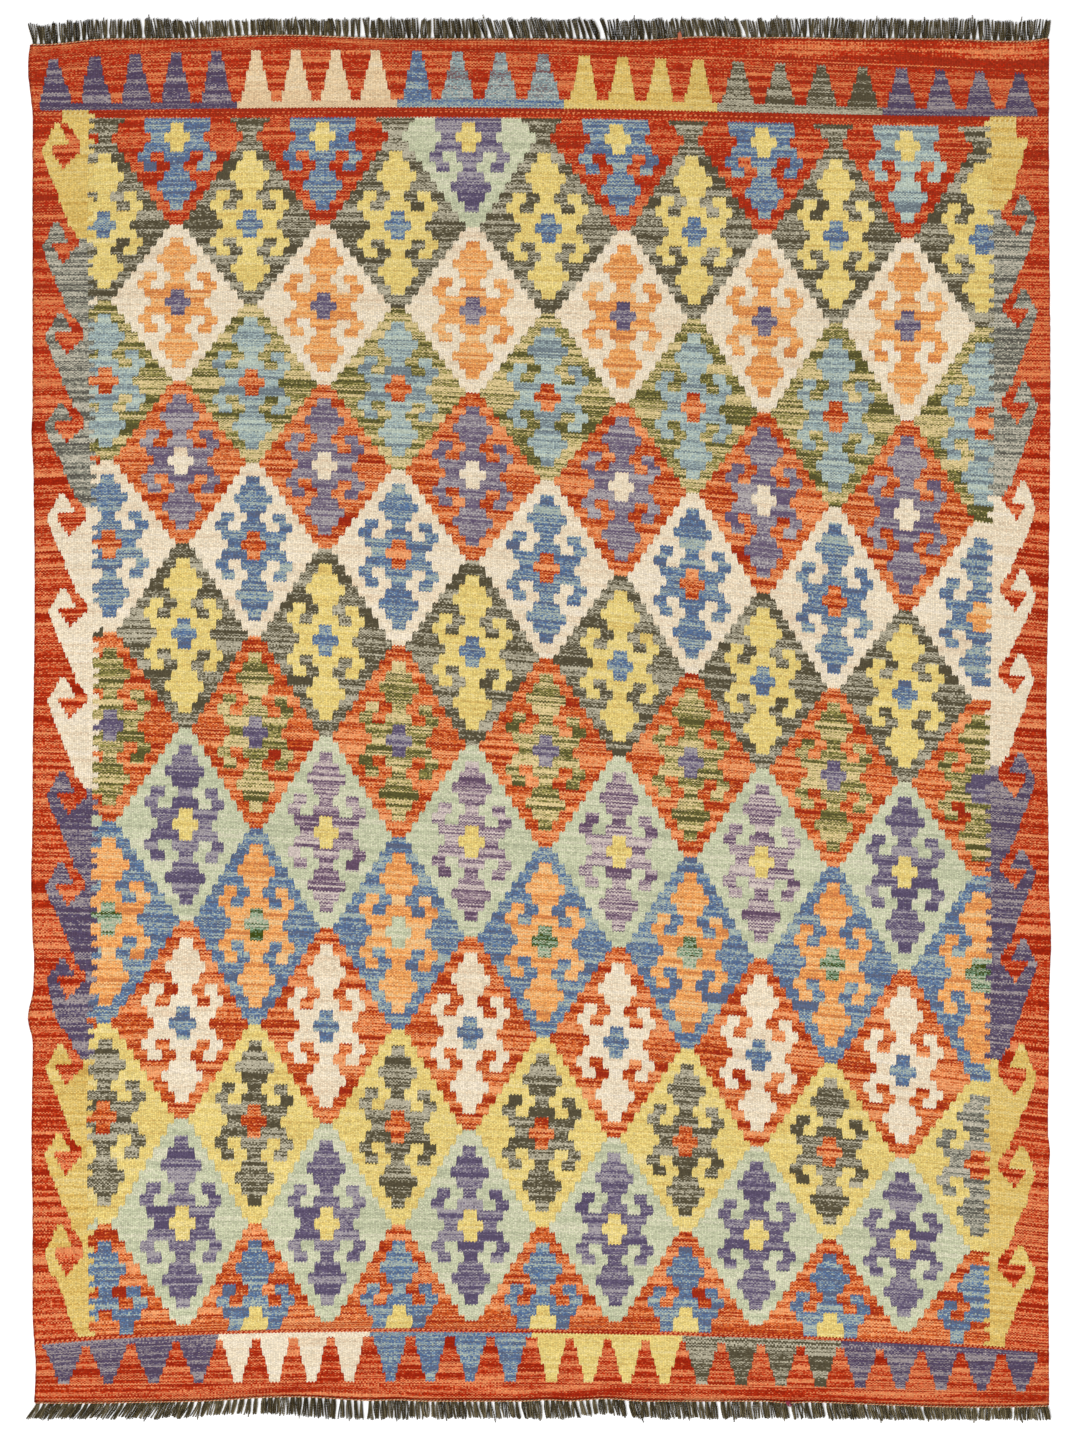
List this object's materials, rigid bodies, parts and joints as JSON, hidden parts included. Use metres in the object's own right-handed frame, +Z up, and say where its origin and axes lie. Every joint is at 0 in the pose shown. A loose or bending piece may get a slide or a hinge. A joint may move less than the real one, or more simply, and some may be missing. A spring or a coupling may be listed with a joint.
{
  "type": "flat-woven kilim rug",
  "caption": "Rectangular flat-woven wool rug with a stepped diamond pattern, lying flat, with a short wool fringe along both ends.",
  "frame": {"origin": "middle of the rug's underside, on the floor", "axes": "+Z up out of the patterned face, +Y along the rug's length towards the far fringe, +X across its width"},
  "size_m": [1.5093, 2.0678, 0.0061],
  "materials": {
    "cloth": "matte flat-woven wool",
    "fringe": "matte twisted wool"
  },
  "bodies": {
    "root": {"cloth": "cloth", "fringe_far": "fringe", "fringe_near": "fringe"}
  },
  "joints": []
}
